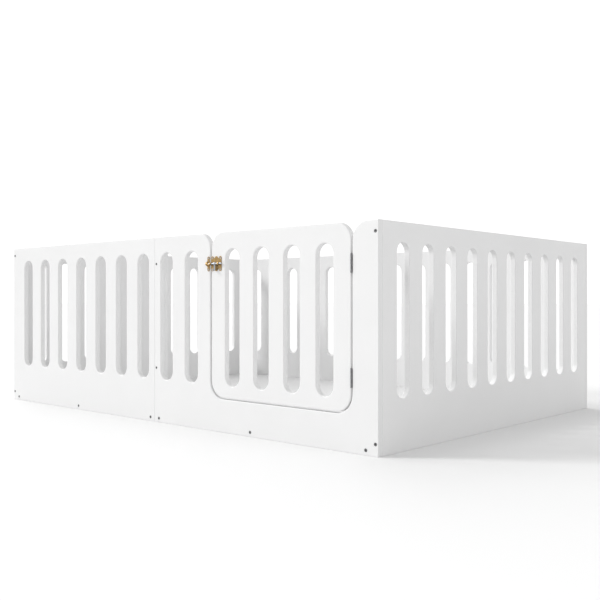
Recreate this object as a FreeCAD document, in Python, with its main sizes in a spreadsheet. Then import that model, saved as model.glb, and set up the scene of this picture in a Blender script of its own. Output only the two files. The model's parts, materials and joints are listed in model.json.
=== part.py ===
import FreeCAD, Part
import math
import os
import re
import Sketcher

# A pet playpen: slotted boards screwed into a rectangle, with a floor of two boards and a door
# that swings outwards on two butt hinges and is held by a small slide bolt.
# Millimetres, +Z up. The origin is on the ground at the middle of the pen. The front, with the
# door in it, faces -Y, and the hinges are on its right.

V = FreeCAD.Vector
doc = FreeCAD.newDocument("pet_playpen")
sheet = doc.addObject("Spreadsheet::Sheet", "sizes")

SIZES = {
    # the pen and its boards
    "overall_length": 1810,
    "overall_width": 1270,
    "wall_height": 600,
    "board_thickness": 18,
    "edge_round": 3,
    # the slots
    "slot_bottom": 139,
    "slot_top_margin": 53,
    "panel_slot_width": 60,
    "panel_slot_pitch": 122,
    "panel_slot_count": 7,
    "gate_panel_slot_count": 2,
    "side_slot_width": 56,
    "side_slot_pitch": 116.7,
    "side_slot_count": 10,
    "door_slot_pitch": 119.5,
    "door_slot_count": 4,
    # the doorway and the door
    "hinge_post_width": 84,
    "opening_width": 549.5,
    "sill_height": 99,
    "door_bottom_gap": 4,
    "latch_gap": 6.5,
    "door_corner_radius": 50,
    # the floor and the battens behind the panel seams
    "floor_lift": 4,
    "batten_width": 50,
    "batten_top_margin": 10,
    # countersunk board screws
    "screw_head_radius": 4.5,
    "screw_head_depth": 2.3,
    "board_screw_radius": 3,
    "board_screw_length": 50,
    "batten_screw_radius": 2.2,
    "batten_screw_length": 31,
    "batten_screw_head_radius": 3.8,
    "batten_screw_inset": 9,
    "corner_screw_low": 31.5,
    "corner_screw_top_margin": 29.5,
    "floor_screw_inset": 22,
    "batten_screw_low": 176,
    "batten_screw_top_margin": 88,
    # floor dowels
    "dowel_radius": 4,
    "dowel_length": 30,
    "dowel_in_wall": 13,
    "dowel_count": 4,
    "dowel_inset": 150,
    # butt hinges
    "hinge_length": 50,
    "hinge_upper_middle": 492,
    "hinge_lower_middle": 194.5,
    "hinge_barrel_radius": 2,
    "hinge_pin_radius": 1.1,
    "hinge_pin_proud": 2,
    "hinge_leaf_thickness": 1,
    "hinge_leaf_width": 17,
    "hinge_pin_cap": 0.8,
    "hinge_screw_offset": 16,
    "hinge_screw_reach": 10.5,
    "hinge_screw_radius": 1.4,
    "hinge_screw_head_radius": 2.6,
    "hinge_screw_length": 16,
    "knuckle_gap": 0.2,
    "hinge_running_clearance": 0.05,
    "hinge_swing_clearance": 0.4,
    # the slide bolt on the door and its keeper on the panel
    "latch_middle": 505,
    "latch_overhang": 1,
    "latch_plate_thickness": 1.6,
    "latch_plate_width": 46,
    "latch_plate_height": 45,
    "latch_ear_radius": 5.5,
    "latch_middle_lobe_radius": 7.5,
    "rod_radius": 2.5,
    "rod_stand_off": 5,
    "rod_clearance": 0.08,
    "rod_chamfer": 0.8,
    "rod_right_reach": 5.5,
    "rod_left_reach": 6,
    "guide_length": 6,
    "guide_wall": 2,
    "left_guide_inset": 1.2,
    "right_guide_inset": 5.2,
    "lever_collar_radius": 4,
    "lever_collar_length": 6.4,
    "lever_middle": 22,
    "lever_width": 6,
    "lever_thickness": 2.4,
    "lever_drop": 21,
    "lever_foot": 8,
    "lever_running_clearance": 0.06,
    "shoulder_radius": 3.3,
    "shoulder_length": 1,
    "shoulder_gap": 0.15,
    "keeper_width": 10,
    "keeper_offset": 1.5,
    "keeper_guide_inset": 1,
    "keeper_ear_radius": 5,
    "keeper_point": 11,
    "keeper_point_half_height": 9,
    "keeper_clearance": 1.5,
    "latch_screw_radius": 1.3,
    "latch_screw_head_radius": 2.5,
    "latch_screw_length": 12,
}
for row, (alias, number) in enumerate(SIZES.items(), start=1):
    sheet.set(f"A{row}", alias)
    sheet.set(f"B{row}", str(number))
    sheet.setAlias(f"B{row}", alias)
CELLS = {alias: "sizes." + alias for alias in SIZES}
doc.recompute()


def formula(text):
    """An expression on the sheet's cells, written with their bare names."""
    return re.sub(r"[a-z_]+", lambda word: CELLS.get(word.group(), word.group()), text)


def value(text):
    return float(sheet.evalExpression(formula(text)))


def add(kind, name, **properties):
    """A document object; text properties are formulas bound to the sheet."""
    made = doc.addObject(kind, name)
    for key, setting in properties.items():
        if isinstance(setting, str):
            made.setExpression(key, formula(setting))
        else:
            setattr(made, key, setting)
    return made


def place(made, x="0", y="0", z="0", axis=None, angle=0):
    """Put an object at a point given by three formulas, turned about an axis."""
    if axis is not None:
        made.Placement = FreeCAD.Placement(V(), FreeCAD.Rotation(V(*axis), angle))
    for letter, text in (("x", x), ("y", y), ("z", z)):
        made.setExpression(f"Placement.Base.{letter}", formula(text))
    return made


# ---- derived places, as formulas -----------------------------------------------------------
HALF_LENGTH = "(overall_length / 2)"
FRONT = "(-overall_width / 2)"
BACK = "(overall_width / 2)"
SIDE_LENGTH = "(overall_width - 2 * board_thickness)"
SLOT_TOP = "(wall_height - slot_top_margin)"
FLOOR_TOP = "(floor_lift + board_thickness)"
FLOOR_MIDDLE = "(floor_lift + board_thickness / 2)"
FLOOR_LENGTH = f"({HALF_LENGTH} - board_thickness)"
OPENING_RIGHT = f"({HALF_LENGTH} - hinge_post_width)"
OPENING_LEFT = f"({OPENING_RIGHT} - opening_width)"
HINGE_GAP = "(2 * hinge_barrel_radius)"
DOOR_LEFT = f"({OPENING_LEFT} + latch_gap)"
DOOR_WIDTH = f"(opening_width - latch_gap - {HINGE_GAP})"
DOOR_BOTTOM = "(sill_height + door_bottom_gap)"
DOOR_HEIGHT = f"(wall_height - {DOOR_BOTTOM})"
PIN_X = f"({OPENING_RIGHT} - hinge_barrel_radius)"
PIN_Y = f"({FRONT} - hinge_pin_proud)"


# ---- sketches and boards -------------------------------------------------------------------
PLANES = {
    # plane: (the pad runs against the sketch's normal, the pocket does)
    "XZ_Plane": (True, False),
    "YZ_Plane": (False, True),
}
ORIGIN_POINT = (-1, 1)
H_AXIS = -1
V_AXIS = -2
START = 1
END = 2
CENTRE = 3


def new_sketch(body, plane, name):
    sketch = body.newObject("Sketcher::SketchObject", name)
    role = next(f for f in body.Origin.OriginFeatures if f.Role == plane)
    sketch.AttachmentSupport = [(role, "")]
    sketch.MapMode = "FlatFace"
    return sketch


def dimension(sketch, kind, where, text):
    """A driving dimension, bound to a formula."""
    index = sketch.addConstraint(Sketcher.Constraint(kind, *where, value(text)))
    name = f"{kind.lower()}_{index}"
    sketch.renameConstraint(index, name)
    sketch.setExpression(f"Constraints.{name}", formula(text))


def pin_point(sketch, geometry, point, x, y):
    """Hold a point at the two formulas; one that is 0 holds it on the axis."""
    for text, kind, axis in ((x, "DistanceX", V_AXIS), (y, "DistanceY", H_AXIS)):
        if text == "0":
            sketch.addConstraint(Sketcher.Constraint("PointOnObject", geometry, point, axis))
        else:
            dimension(sketch, kind, (*ORIGIN_POINT, geometry, point), text)


def add_rectangle(sketch, left, bottom, right, top):
    x0, y0, x1, y1 = (value(text) for text in (left, bottom, right, top))
    corners = [V(x0, y0), V(x1, y0), V(x1, y1), V(x0, y1)]
    lines = []
    for near, far in zip(corners, corners[1:] + corners[:1]):
        lines.append(sketch.addGeometry(Part.LineSegment(near, far), False))
    for near, far in zip(lines, lines[1:] + lines[:1]):
        sketch.addConstraint(Sketcher.Constraint("Coincident", near, END, far, START))
    for line, kind in zip(lines, ("Horizontal", "Vertical", "Horizontal", "Vertical")):
        sketch.addConstraint(Sketcher.Constraint(kind, line))
    pin_point(sketch, lines[0], START, left, bottom)
    pin_point(sketch, lines[2], START, right, top)


def add_slot(sketch, middle, bottom, top, width):
    """An upright slot with half-round ends."""
    x, low, high = value(middle), value(bottom), value(top)
    radius = value(width) / 2
    low_centre = V(x, low + radius)
    high_centre = V(x, high - radius)
    side = V(radius, 0)
    normal = V(0, 0, 1)
    cap = Part.ArcOfCircle(Part.Circle(high_centre, normal, radius), 0, math.pi)
    base = Part.ArcOfCircle(Part.Circle(low_centre, normal, radius), math.pi, 2 * math.pi)
    cap = sketch.addGeometry(cap, False)
    left = sketch.addGeometry(Part.LineSegment(high_centre - side, low_centre - side), False)
    base = sketch.addGeometry(base, False)
    right = sketch.addGeometry(Part.LineSegment(low_centre + side, high_centre + side), False)
    ring = [cap, left, base, right]
    for near, far in zip(ring, ring[1:] + ring[:1]):
        sketch.addConstraint(Sketcher.Constraint("Tangent", near, END, far, START))
    sketch.addConstraint(Sketcher.Constraint("Vertical", left))
    sketch.addConstraint(Sketcher.Constraint("Equal", cap, base))
    dimension(sketch, "Radius", (cap,), f"{width} / 2")
    pin_point(sketch, base, CENTRE, middle, f"{bottom} + {width} / 2")
    dimension(sketch, "DistanceY", (*ORIGIN_POINT, cap, CENTRE), f"{top} - {width} / 2")


def board(name, plane, length, height):
    """A rectangular board standing on the sketch's origin corner."""
    body = doc.addObject("PartDesign::Body", name)
    outline = new_sketch(body, plane, name + "_outline")
    add_rectangle(outline, "0", "0", length, height)
    pad = body.newObject("PartDesign::Pad", name + "_pad")
    pad.Profile = (outline, [""])
    pad.setExpression("Length", formula("board_thickness"))
    pad.Reversed = PLANES[plane][0]
    doc.recompute()
    return body


def pocket_through(body, plane, sketch):
    before = body.Shape.Volume
    pocket = body.newObject("PartDesign::Pocket", sketch.Name + "_pocket")
    pocket.Profile = (sketch, [""])
    pocket.Type = "ThroughAll"
    pocket.Reversed = PLANES[plane][1]
    doc.recompute()
    if body.Shape.Volume > before - 1:
        raise RuntimeError(f"{pocket.Name} cuts nothing")
    return pocket


def slot_row(body, plane, first, pitch, count, bottom, top, width):
    """A row of equal slots, each a pitch from the last."""
    sketch = new_sketch(body, plane, body.Name + "_slot")
    add_slot(sketch, first, bottom, top, width)
    pocket = pocket_through(body, plane, sketch)
    one_slot = body.Shape.Volume
    row = body.newObject("PartDesign::LinearPattern", body.Name + "_slot_row")
    row.Originals = [pocket]
    row.Direction = (sketch, ["H_Axis"])
    row.setExpression("Length", formula(f"({count} - 1) * {pitch}"))
    row.setExpression("Occurrences", formula(count))
    body.Tip = row
    doc.recompute()
    if body.Shape.Volume > one_slot - 1:
        raise RuntimeError(f"{row.Name} repeats nothing")


def fillet(body, name, radius, wanted):
    """Round the edges of the body's tip that wanted(edge) picks."""
    base = body.Tip
    names = []
    for index, edge in enumerate(base.Shape.Edges, start=1):
        if wanted(edge):
            names.append(f"Edge{index}")
    rounding = body.newObject("PartDesign::Fillet", f"{body.Name}_{name}")
    rounding.Base = (base, names)
    rounding.setExpression("Radius", formula(radius))
    doc.recompute()


def across_and_along(plane):
    """The axis letters across a board's thickness and along its length."""
    return ("Y", "X") if plane == "XZ_Plane" else ("X", "Y")


def face_edges(plane, length):
    """Picks the slot edges and the top edges on both faces; the ends and the foot stay sharp."""
    across, along = across_and_along(plane)

    def wanted(edge):
        box = edge.BoundBox
        on_face = getattr(box, across + "Length") < 0.01
        run = getattr(box.Center, along.lower())
        at_end = min(abs(run), abs(run - length)) < 0.1
        return on_face and not at_end and box.ZMax > 0.1

    return wanted


def corner_edges(plane, corners):
    """Picks the edges that cross the board at the given (along, up) corners."""
    across, along = across_and_along(plane)

    def wanted(edge):
        box = edge.BoundBox
        run = getattr(box.Center, along.lower())
        crosses = getattr(box, across + "Length") > 1
        return crosses and any(abs(run - x) < 0.1 and abs(box.Center.z - z) < 0.1
                               for x, z in corners)

    return wanted


def slotted_panel(name, first, count):
    """A plain slotted half of the front or back wall."""
    body = board(name, "XZ_Plane", HALF_LENGTH, "wall_height")
    slot_row(body, "XZ_Plane", first, "panel_slot_pitch", count,
             "slot_bottom", SLOT_TOP, "panel_slot_width")
    fillet(body, "edges", "edge_round", face_edges("XZ_Plane", value(HALF_LENGTH)))
    return body


# ---- screws and dowels ---------------------------------------------------------------------
TURNS = {
    # direction a fastener points: rotation that brings +Z there
    "+Y": ((1, 0, 0), -90),
    "-Y": ((1, 0, 0), 90),
    "+X": ((0, 1, 0), 90),
    "-X": ((0, 1, 0), -90),
}


def screw(name, x, y, z, points, kind):
    """A countersunk screw whose head's flat face is at the given place."""
    head, shank, length, depth = kind
    cone = add("Part::Cone", name + "_head", Radius1=head, Radius2=shank, Height=depth)
    rod = add("Part::Cylinder", name + "_shank", Radius=shank, Height=length)
    axis, angle = TURNS[points]
    place(cone, x, y, z, axis, angle)
    place(rod, x, y, z, axis, angle)
    whole = doc.addObject("Part::Fuse", name)
    whole.Base = cone
    whole.Tool = rod
    return whole


def group(name, members):
    made = doc.addObject("Part::Compound", name)
    made.Links = members
    made.Label = name
    return made


BOARD_SCREW = ("screw_head_radius", "board_screw_radius", "board_screw_length",
               "screw_head_depth")
BATTEN_SCREW = ("batten_screw_head_radius", "batten_screw_radius", "batten_screw_length",
                "screw_head_depth")
HINGE_SCREW = ("hinge_screw_head_radius", "hinge_screw_radius", "hinge_screw_length",
               "hinge_leaf_thickness")
LATCH_SCREW = ("latch_screw_head_radius", "latch_screw_radius", "latch_screw_length",
               "latch_plate_thickness")

WALLS = {
    # wall: (outer face, direction its screws point, inner face of its batten, way back out)
    "front": (FRONT, "+Y", f"({FRONT} + 2 * board_thickness)", "-Y"),
    "back": (BACK, "-Y", f"({BACK} - 2 * board_thickness)", "+Y"),
}
fasteners = {}
for wall, (face, inwards, batten_face, outwards) in WALLS.items():
    corner, floor, batten = [], [], []
    for side in ("-", "+"):
        x = f"{side}({HALF_LENGTH} - board_thickness / 2)"
        for level in ("corner_screw_low", "(wall_height - corner_screw_top_margin)"):
            name = f"{wall}_corner_screw_{len(corner)}"
            corner.append(screw(name, x, face, level, inwards, BOARD_SCREW))
        for reach in ("floor_screw_inset", f"{FLOOR_LENGTH} / 2",
                      f"({FLOOR_LENGTH} - floor_screw_inset)"):
            name = f"{wall}_floor_screw_{len(floor)}"
            floor.append(screw(name, f"{side}({reach})", face, FLOOR_MIDDLE, inwards,
                               BOARD_SCREW))
    for level in ("batten_screw_low", "(wall_height - batten_screw_top_margin)"):
        name = f"{wall}_batten_screw_{len(batten)}"
        batten.append(screw(name, "batten_screw_inset", face, level, inwards, BATTEN_SCREW))
        name = f"{wall}_batten_screw_{len(batten)}"
        batten.append(screw(name, "-batten_screw_inset", batten_face, level, outwards,
                            BATTEN_SCREW))
    fasteners[wall, "corner"] = group(f"{wall}_corner_screws", corner)
    fasteners[wall, "floor"] = group(f"{wall}_floor_screws", floor)
    fasteners[wall, "batten"] = group(f"{wall}_batten_screws", batten)


def dowel_row(name, x):
    """Dowels along the floor's width, with their middles at x."""
    row = []
    for index in range(int(SIZES["dowel_count"])):
        peg = add("Part::Cylinder", f"{name}_{index}", Radius="dowel_radius",
                  Height="dowel_length")
        y = f"(-1 + 2 * {index} / (dowel_count - 1)) * ({SIDE_LENGTH} / 2 - dowel_inset)"
        place(peg, f"{x} - dowel_length / 2", y, FLOOR_MIDDLE, *TURNS["+X"])
        row.append(peg)
    return group(name, row)


SIDE_JOINT = f"({FLOOR_LENGTH} + dowel_in_wall - dowel_length / 2)"
seam_dowels = dowel_row("floor_seam_dowels", "0")
right_dowels = dowel_row("right_floor_dowels", SIDE_JOINT)
left_dowels = dowel_row("left_floor_dowels", f"-{SIDE_JOINT}")


def drilled(label, blank, fixings):
    """The finished board: the blank with a hole for each fastener that enters it."""
    tool = group(label + "_fixings", fixings)
    made = doc.addObject("Part::Cut", label)
    made.Base = blank
    made.Tool = tool
    made.Label = label
    return made


# ---- the walls -----------------------------------------------------------------------------
FIRST_FROM_SEAM = "panel_slot_pitch / 2"
LEFT_FIRST = f"({HALF_LENGTH} - panel_slot_pitch * (panel_slot_count - 0.5))"
parts = []


def wall_fixings(wall):
    return [fasteners[wall, kind] for kind in ("corner", "floor", "batten")]


front_left = slotted_panel("front_left_blank", LEFT_FIRST, "panel_slot_count")
place(front_left, f"-{HALF_LENGTH}", FRONT, "0")
parts.append(drilled("front_left_panel", front_left, wall_fixings("front")))

back_left = slotted_panel("back_left_blank", LEFT_FIRST, "panel_slot_count")
place(back_left, f"-{HALF_LENGTH}", f"{BACK} - board_thickness", "0")
parts.append(drilled("back_left_panel", back_left, wall_fixings("back")))

back_right = slotted_panel("back_right_blank", FIRST_FROM_SEAM, "panel_slot_count")
place(back_right, "0", f"{BACK} - board_thickness", "0")
parts.append(drilled("back_right_panel", back_right, wall_fixings("back")))

# The front right panel is one board with a notch in its top edge for the door.
front_right = board("front_right_blank", "XZ_Plane", HALF_LENGTH, "wall_height")
notch = new_sketch(front_right, "XZ_Plane", "doorway")
add_rectangle(notch, OPENING_LEFT, "sill_height", OPENING_RIGHT, "wall_height + 10")
pocket_through(front_right, "XZ_Plane", notch)
left_edge = value(OPENING_LEFT)
right_edge = value(OPENING_RIGHT)
top_edge = value("wall_height")
sill = value("sill_height")
fillet(front_right, "top_corners", "door_corner_radius",
       corner_edges("XZ_Plane", [(left_edge, top_edge), (right_edge, top_edge)]))
fillet(front_right, "sill_corners", "door_corner_radius + door_bottom_gap",
       corner_edges("XZ_Plane", [(left_edge, sill), (right_edge, sill)]))
slot_row(front_right, "XZ_Plane", FIRST_FROM_SEAM, "panel_slot_pitch",
         "gate_panel_slot_count", "slot_bottom", SLOT_TOP, "panel_slot_width")
fillet(front_right, "edges", "edge_round", face_edges("XZ_Plane", value(HALF_LENGTH)))
place(front_right, "0", FRONT, "0")

for side, x in (("left", f"-{HALF_LENGTH}"), ("right", f"{HALF_LENGTH} - board_thickness")):
    wall = board(f"{side}_side_blank", "YZ_Plane", SIDE_LENGTH, "wall_height")
    first = f"({SIDE_LENGTH} - (side_slot_count - 1) * side_slot_pitch) / 2"
    slot_row(wall, "YZ_Plane", first, "side_slot_pitch", "side_slot_count",
             "slot_bottom", SLOT_TOP, "side_slot_width")
    fillet(wall, "edges", "edge_round", face_edges("YZ_Plane", value(SIDE_LENGTH)))
    place(wall, x, f"{FRONT} + board_thickness", "0")
    dowels = left_dowels if side == "left" else right_dowels
    parts.append(drilled(f"{side}_side_wall", wall,
                         [fasteners["front", "corner"], fasteners["back", "corner"], dowels]))

# ---- the floor and the battens -------------------------------------------------------------
for side, x, dowels in (("left", f"-{FLOOR_LENGTH}", left_dowels), ("right", "0", right_dowels)):
    plank = add("Part::Box", f"{side}_floor_blank", Length=FLOOR_LENGTH, Width=SIDE_LENGTH,
                Height="board_thickness")
    place(plank, x, f"{FRONT} + board_thickness", "floor_lift")
    parts.append(drilled(f"{side}_floor_board", plank,
                         [fasteners["front", "floor"], fasteners["back", "floor"],
                          seam_dowels, dowels]))

for wall, y in (("front", f"{FRONT} + board_thickness"),
                ("back", f"{BACK} - 2 * board_thickness")):
    body = board(f"{wall}_batten_blank", "XZ_Plane", "batten_width",
                 f"(wall_height - batten_top_margin - {FLOOR_TOP})")
    upright = value("wall_height - batten_top_margin") - value(FLOOR_TOP)
    inner = value("board_thickness") if wall == "front" else 0
    fillet(body, "edges", "edge_round",
           lambda edge: edge.BoundBox.YLength < 0.01 and edge.BoundBox.ZLength > upright - 1
           and abs(edge.BoundBox.Center.y - inner) < 0.1)
    place(body, "-batten_width / 2", y, FLOOR_TOP)
    parts.append(drilled(f"{wall}_joining_batten", body, [fasteners[wall, "batten"]]))

# ---- the door ------------------------------------------------------------------------------
door = board("door_blank", "XZ_Plane", DOOR_WIDTH, DOOR_HEIGHT)
wide = value(DOOR_WIDTH)
tall = value(DOOR_HEIGHT)
fillet(door, "corners", "door_corner_radius",
       corner_edges("XZ_Plane", [(0, 0), (wide, 0), (wide, tall), (0, tall)]))
slot_row(door, "XZ_Plane",
         f"({DOOR_WIDTH} - (door_slot_count - 1) * door_slot_pitch) / 2",
         "door_slot_pitch", "door_slot_count",
         f"(slot_bottom - {DOOR_BOTTOM})", f"({SLOT_TOP} - {DOOR_BOTTOM})", "panel_slot_width")
fillet(door, "edges", "edge_round",
       lambda edge: edge.BoundBox.YLength < 0.01)
place(door, DOOR_LEFT, FRONT, DOOR_BOTTOM)

# ---- the hinges ----------------------------------------------------------------------------
KNUCKLES = 5
KNUCKLE = f"(hinge_length / {KNUCKLES})"
LEAVES = {
    # leaf: (side of the pin, knuckles it owns, direction its screws point, clearance on the pin)
    "frame": ("+", (0, 2, 4), "+X", "0"),
    "door": ("-", (1, 3), "-X", "hinge_running_clearance"),
}


def hinge_leaf(hinge, leaf, middle):
    """A flat leaf with rolled knuckles, notched round the knuckles of the other leaf."""
    side, own, points, bore_clearance = LEAVES[leaf]
    name = f"{hinge}_hinge_{leaf}_leaf"
    foot = f"({middle} - hinge_length / 2)"
    slab = add("Part::Box", name + "_slab", Length="hinge_leaf_thickness",
               Width="hinge_leaf_width", Height="hinge_length")
    slab_x = "hinge_barrel_radius - hinge_leaf_thickness" if side == "+" \
        else "-hinge_barrel_radius"
    place(slab, f"{PIN_X} + {slab_x}", PIN_Y, foot)
    solids, tools = [slab], []
    for index in range(KNUCKLES):
        start = f"{foot} + {index} * {KNUCKLE}"
        if index in own:
            roll = add("Part::Cylinder", f"{name}_knuckle_{index}",
                       Radius="hinge_barrel_radius", Height=f"{KNUCKLE} - knuckle_gap")
            place(roll, PIN_X, PIN_Y, f"{start} + knuckle_gap / 2")
            solids.append(roll)
        else:
            room = add("Part::Cylinder", f"{name}_room_{index}",
                       Radius="hinge_barrel_radius + hinge_swing_clearance",
                       Height=f"{KNUCKLE} + knuckle_gap")
            place(room, PIN_X, PIN_Y, f"{start} - knuckle_gap / 2")
            tools.append(room)
    bore = add("Part::Cylinder", name + "_bore", Height="hinge_length + 2",
               Radius=f"hinge_pin_radius + {bore_clearance}")
    place(bore, PIN_X, PIN_Y, f"{foot} - 1")
    blank = doc.addObject("Part::MultiFuse", name + "_blank")
    blank.Shapes = solids
    screws = []
    head_x = "(hinge_barrel_radius - hinge_leaf_thickness)"
    for way in ("-", "+"):
        screws.append(screw(f"{name}_screw_{len(screws)}", f"{PIN_X} {side} {head_x}",
                            f"{PIN_Y} + hinge_screw_reach",
                            f"{middle} {way} hinge_screw_offset", points, HINGE_SCREW))
    parts.append(drilled(name, blank, [bore] + tools + screws))
    return screws


def hinge_pin(hinge, middle):
    """The pin, riveted over at both ends."""
    name = f"{hinge}_hinge_pin"
    foot = f"({middle} - hinge_length / 2)"
    rod = add("Part::Cylinder", name + "_rod", Radius="hinge_pin_radius",
              Height="hinge_length")
    place(rod, PIN_X, PIN_Y, foot)
    pieces = [rod]
    for end, z in (("low", f"{foot} - hinge_pin_cap"), ("high", f"{foot} + hinge_length")):
        cap = add("Part::Cylinder", f"{name}_{end}_cap", Height="hinge_pin_cap",
                  Radius="hinge_barrel_radius - 0.4")
        place(cap, PIN_X, PIN_Y, z)
        pieces.append(cap)
    made = doc.addObject("Part::MultiFuse", name)
    made.Shapes = pieces
    made.Label = name
    parts.append(made)


hinge_screws = {"frame": [], "door": []}
for hinge in ("upper", "lower"):
    for leaf in LEAVES:
        hinge_screws[leaf] += hinge_leaf(hinge, leaf, f"hinge_{hinge}_middle")
    hinge_pin(hinge, f"hinge_{hinge}_middle")
frame_hinge_screws = group("hinge_frame_screws", hinge_screws["frame"])
door_hinge_screws = group("hinge_door_screws", hinge_screws["door"])

# ---- the latch -----------------------------------------------------------------------------
LATCH_LEFT = f"({DOOR_LEFT} - latch_overhang)"
LATCH_RIGHT = f"({LATCH_LEFT} + latch_plate_width)"
LATCH_CENTRE = f"({LATCH_LEFT} + latch_plate_width / 2)"
ROD_Y = f"({FRONT} - latch_plate_thickness - rod_stand_off)"
GUIDE_RADIUS = "(rod_radius + guide_wall)"
ROD_LEFT = f"({DOOR_LEFT} - rod_left_reach)"
ROD_RIGHT = f"({LATCH_RIGHT} + rod_right_reach)"
LEVER_X = f"({LATCH_LEFT} + lever_middle)"
PLATE_Y = f"({FRONT} - latch_plate_thickness)"


def plate_disc(name, x, z, radius):
    """A round lobe of a fitting's back plate."""
    disc = add("Part::Cylinder", name, Radius=radius, Height="latch_plate_thickness")
    return place(disc, x, PLATE_Y, z, *TURNS["+Y"])


def plate_box(name, left, width, half_height):
    box = add("Part::Box", name, Length=width, Width="latch_plate_thickness",
              Height=f"2 * {half_height}")
    return place(box, left, PLATE_Y, f"latch_middle - {half_height}")


def guide(name, left, length, radius):
    """A bridge over the rod: a half-round back with two flat feet."""
    feet = add("Part::Box", name + "_feet", Length=length, Width="rod_stand_off",
               Height=f"2 * {radius}")
    place(feet, left, ROD_Y, f"latch_middle - {radius}")
    back = add("Part::Cylinder", name + "_back", Radius=radius, Height=length)
    place(back, left, ROD_Y, "latch_middle", *TURNS["+X"])
    return [feet, back]


def rod_bore(name, radius):
    bore = add("Part::Cylinder", name, Radius=radius, Height="3 * latch_plate_width")
    return place(bore, f"{LATCH_CENTRE} - 1.5 * latch_plate_width", ROD_Y, "latch_middle",
                 *TURNS["+X"])


# the scalloped plate: four screw ears and two larger middle lobes
ear_x = "(latch_plate_width / 2 - latch_ear_radius)"
ear_z = "(latch_plate_height / 2 - latch_ear_radius)"
lobe_z = "(latch_plate_height / 2 - latch_middle_lobe_radius)"
solids = [plate_box("plate_middle", LATCH_LEFT, "latch_plate_width", ear_z)]
latch_screws = []
for way in ("-", "+"):
    solids.append(plate_disc(f"plate_lobe_{len(solids)}", LATCH_CENTRE,
                             f"latch_middle {way} {lobe_z}", "latch_middle_lobe_radius"))
    for across in ("-", "+"):
        x = f"{LATCH_CENTRE} {across} {ear_x}"
        z = f"latch_middle {way} {ear_z}"
        solids.append(plate_disc(f"plate_ear_{len(solids)}", x, z, "latch_ear_radius"))
        latch_screws.append(screw(f"plate_screw_{len(latch_screws)}", x, PLATE_Y, z, "+Y",
                                  LATCH_SCREW))
solids += guide("left_guide", f"{LATCH_LEFT} + left_guide_inset", "guide_length",
                GUIDE_RADIUS)
solids += guide("right_guide", f"{LATCH_RIGHT} - right_guide_inset - guide_length",
                "guide_length", GUIDE_RADIUS)
plate_blank = doc.addObject("Part::MultiFuse", "latch_plate_blank")
plate_blank.Shapes = solids
parts.append(drilled("latch_plate", plate_blank,
                     [rod_bore("guide_bore", "rod_radius + rod_clearance")] + latch_screws))

# the round bolt, with a shoulder each side of the lever's collar
rod = add("Part::Cylinder", "bolt_rod", Radius="rod_radius", Height=f"{ROD_RIGHT} - {ROD_LEFT}")
place(rod, ROD_LEFT, ROD_Y, "latch_middle", *TURNS["+X"])
pieces = [rod]
collar_reach = "(lever_collar_length / 2 + shoulder_gap)"
for side, x in (("left", f"{LEVER_X} - {collar_reach} - shoulder_length"),
                ("right", f"{LEVER_X} + {collar_reach}")):
    ring = add("Part::Cylinder", f"{side}_shoulder", Radius="shoulder_radius",
               Height="shoulder_length")
    place(ring, x, ROD_Y, "latch_middle", *TURNS["+X"])
    pieces.append(ring)
bolt_blank = doc.addObject("Part::MultiFuse", "bolt_blank")
bolt_blank.Shapes = pieces
bolt = doc.addObject("Part::Chamfer", "latch_bolt")
bolt.Base = bolt_blank
bolt.Label = "latch_bolt"
doc.recompute()
chamfer = value("rod_chamfer")
ends = []
for index, edge in enumerate(bolt_blank.Shape.Edges, start=1):
    x = edge.BoundBox.Center.x
    round_end = edge.BoundBox.XLength < 0.01
    if round_end and min(abs(x - value(ROD_LEFT)), abs(x - value(ROD_RIGHT))) < 0.01:
        ends.append((index, chamfer, chamfer))
bolt.Edges = ends
parts.append(bolt)

# the lever: a collar on the bolt, an arm that hangs and a foot that stands out to be gripped
collar = add("Part::Cylinder", "lever_collar", Radius="lever_collar_radius",
             Height="lever_collar_length")
place(collar, f"{LEVER_X} - lever_collar_length / 2", ROD_Y, "latch_middle", *TURNS["+X"])
arm = add("Part::Box", "lever_arm", Length="lever_width", Width="lever_thickness",
          Height="lever_drop")
place(arm, f"{LEVER_X} - lever_width / 2", f"{ROD_Y} - lever_thickness / 2",
      "latch_middle - lever_drop")
foot = add("Part::Box", "lever_foot_bar", Length="lever_width",
           Width="lever_foot + lever_thickness / 2", Height="lever_thickness")
place(foot, f"{LEVER_X} - lever_width / 2", f"{ROD_Y} - lever_thickness / 2 - lever_foot",
      "latch_middle - lever_drop")
lever_blank = doc.addObject("Part::MultiFuse", "lever_blank")
lever_blank.Shapes = [collar, arm, foot]
parts.append(drilled("latch_lever", lever_blank,
                     [rod_bore("collar_bore", "rod_radius + lever_running_clearance")]))

# the keeper on the panel: a narrow plate with two ears, a point and one guide for the bolt
KEEPER_RIGHT = f"({OPENING_LEFT} - keeper_offset)"
KEEPER_LEFT = f"({KEEPER_RIGHT} - keeper_width)"
keeper_ear_z = "(latch_plate_height / 2 - keeper_ear_radius)"
solids = [plate_box("keeper_middle", KEEPER_LEFT, "keeper_width", keeper_ear_z)]
keeper_screws = []
for way in ("-", "+"):
    x = f"{KEEPER_LEFT} + keeper_width / 2"
    z = f"latch_middle {way} {keeper_ear_z}"
    solids.append(plate_disc(f"keeper_ear_{len(solids)}", x, z, "keeper_ear_radius"))
    keeper_screws.append(screw(f"keeper_screw_{len(keeper_screws)}", x, PLATE_Y, z, "+Y",
                               LATCH_SCREW))
tip = doc.addObject("PartDesign::Body", "keeper_tip")
tip_sketch = new_sketch(tip, "XZ_Plane", "keeper_tip_outline")
half = value("keeper_point_half_height")
reach = value("keeper_point")
corners = [V(0, 0), V(reach, half), V(0, 2 * half)]
lines = []
for near, far in zip(corners, corners[1:] + corners[:1]):
    lines.append(tip_sketch.addGeometry(Part.LineSegment(near, far), False))
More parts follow.
